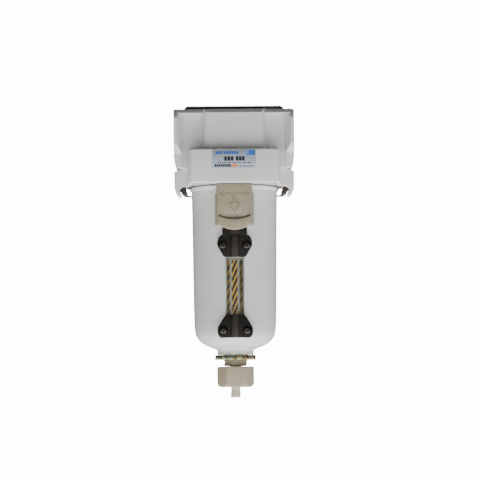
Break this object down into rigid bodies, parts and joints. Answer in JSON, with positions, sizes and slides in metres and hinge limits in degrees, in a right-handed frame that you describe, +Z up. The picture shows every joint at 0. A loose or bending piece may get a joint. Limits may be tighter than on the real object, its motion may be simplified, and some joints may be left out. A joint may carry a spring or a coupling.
{
  "type": "compressed air filter",
  "caption": "Modular compressed air filter: threaded ports on a cast head, white metal bayonet bowl with a sight glass, lock button and a hex drain knob.",
  "frame": {"origin": "centre of the drain nozzle's lower end, on the bowl's axis", "axes": "+Z up along the bowl's axis; X along the ports, inlet at -X and outlet at +X; the sight glass and the lock button face -Y"},
  "size_m": [0.07, 0.0622, 0.1695],
  "materials": {
    "white_paint": "satin",
    "black_plastic": "satin",
    "label_film": "metallic film",
    "dark_rubber": "matte",
    "dark_plastic": "satin",
    "sintered_plastic": "porous",
    "rubber": "matte",
    "plated_steel": "plated",
    "clear_glass": "clear",
    "striped_backing": "striped",
    "black_steel": "black oxide",
    "tan_plastic": "satin",
    "spring_steel": "drawn wire",
    "zinc_plate": "yellow zinc",
    "pale_plastic": "satin",
    "float_foam": "matte"
  },
  "bodies": {
    "head": {"head_body": "white_paint", "top_cap": "black_plastic", "name_label": "label_film", "side_pads": "dark_rubber", "deflector": "dark_plastic", "filter_element": "sintered_plastic", "gasket_top": "rubber", "gasket_bottom": "rubber", "element_baffle": "dark_plastic", "tie_rod": "plated_steel"},
    "bowl_seal": {"bowl_oring": "rubber"},
    "bowl": {"bowl_shell": "white_paint", "sight_glass": "clear_glass", "sight_stripes": "striped_backing", "sight_seals": "rubber", "upper_clamp": "black_plastic", "lower_clamp": "black_plastic", "clamp_screws": "black_steel", "drain_housing": "tan_plastic", "drain_gasket": "rubber", "drain_cage_lid": "dark_plastic", "drain_lock_nut": "zinc_plate", "lock_spring": "spring_steel"},
    "lock_button": {"lock_button": "tan_plastic"},
    "drain_stem": {"drain_stem": "pale_plastic", "stem_oring": "rubber"},
    "drain_knob": {"drain_knob": "tan_plastic"},
    "drain_float": {"drain_float": "float_foam"}
  },
  "joints": [
    {"name": "bowl_drop", "type": "slide", "parent": "head", "child": "bowl_seal", "axis": [0, 0, -1], "range_m": [0, 0.075]},
    {"name": "bowl_turn", "type": "hinge", "parent": "bowl_seal", "child": "bowl", "pos_m": [0, 0, 0.133], "axis": [0, 0, 1], "range_deg": [0, 45]},
    {"name": "lock_button_slide", "type": "slide", "parent": "bowl", "child": "lock_button", "axis": [0, 0, -1], "range_m": [0, 0.0028], "stiffness_N_per_m": 600, "springref_m": -0.002, "deforming": ["lock_spring"]},
    {"name": "drain_stem_slide", "type": "slide", "parent": "bowl", "child": "drain_stem", "axis": [0, 0, -1], "range_m": [0, 0.0021]},
    {"name": "drain_knob_turn", "type": "hinge", "parent": "drain_stem", "child": "drain_knob", "pos_m": [0, 0, 0.0116], "axis": [0, 0, -1], "range_deg": [0, 480]},
    {"name": "drain_float_rise", "type": "slide", "parent": "bowl", "child": "drain_float", "axis": [0, 0, 1], "range_m": [0, 0.004]}
  ],
  "couplings": [
    {"joint": "drain_stem_slide", "follows": "drain_knob_turn", "m_per_rad": 0.00023873}
  ]
}
